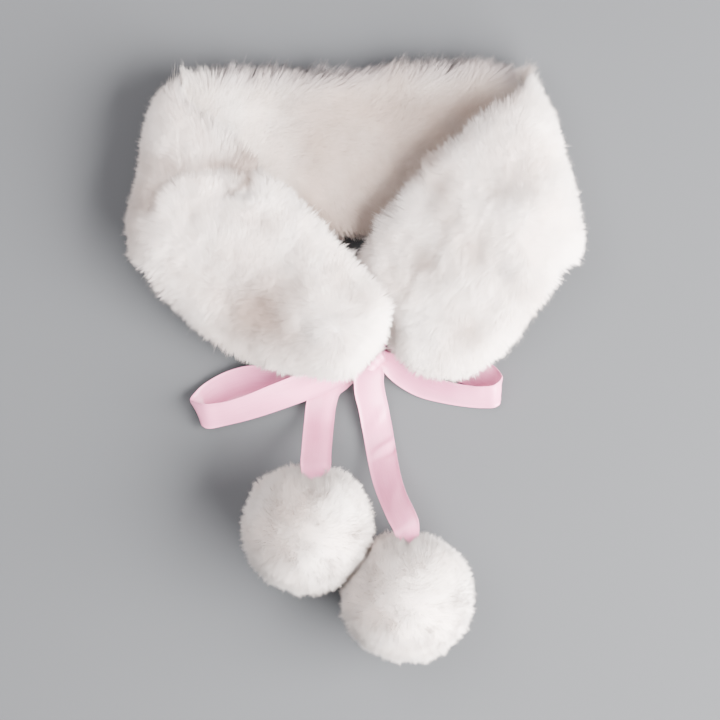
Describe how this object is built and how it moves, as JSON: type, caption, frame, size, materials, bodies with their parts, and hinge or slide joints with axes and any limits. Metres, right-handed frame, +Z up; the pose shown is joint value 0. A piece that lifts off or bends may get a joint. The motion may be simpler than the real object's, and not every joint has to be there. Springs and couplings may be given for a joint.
{
  "type": "pom-pom scarf",
  "caption": "Short faux-fur collar scarf folded and laid flat, closed in front by a satin ribbon bow whose tails end in fur pompoms.",
  "frame": {"origin": "middle of the scarf's box, on the surface that it lies on", "axes": "+X to the right as the picture shows it, +Y from the pompoms towards the nape, +Z up off the surface"},
  "size_m": [0.3084, 0.4025, 0.0896],
  "materials": {
    "white_fur": "long white faux-fur pile, matt with a soft sheen",
    "inner_fur": "shorter, smoother cream faux-fur pile",
    "pink_satin": "pale pink single-face satin ribbon"
  },
  "bodies": {
    "root": {"outer_fur_back": "white_fur", "outer_fur_left_front": "white_fur", "outer_fur_right_front": "white_fur", "inner_fur_back": "inner_fur", "inner_fur_left_front": "inner_fur", "inner_fur_right_front": "inner_fur", "pompom_left": "white_fur", "pompom_right": "white_fur", "ribbon_loop_left": "pink_satin", "ribbon_loop_right": "pink_satin", "ribbon_tail_left": "pink_satin", "ribbon_tail_right": "pink_satin", "ribbon_tie_left": "pink_satin", "ribbon_tie_right": "pink_satin", "knot": "pink_satin"}
  },
  "joints": []
}
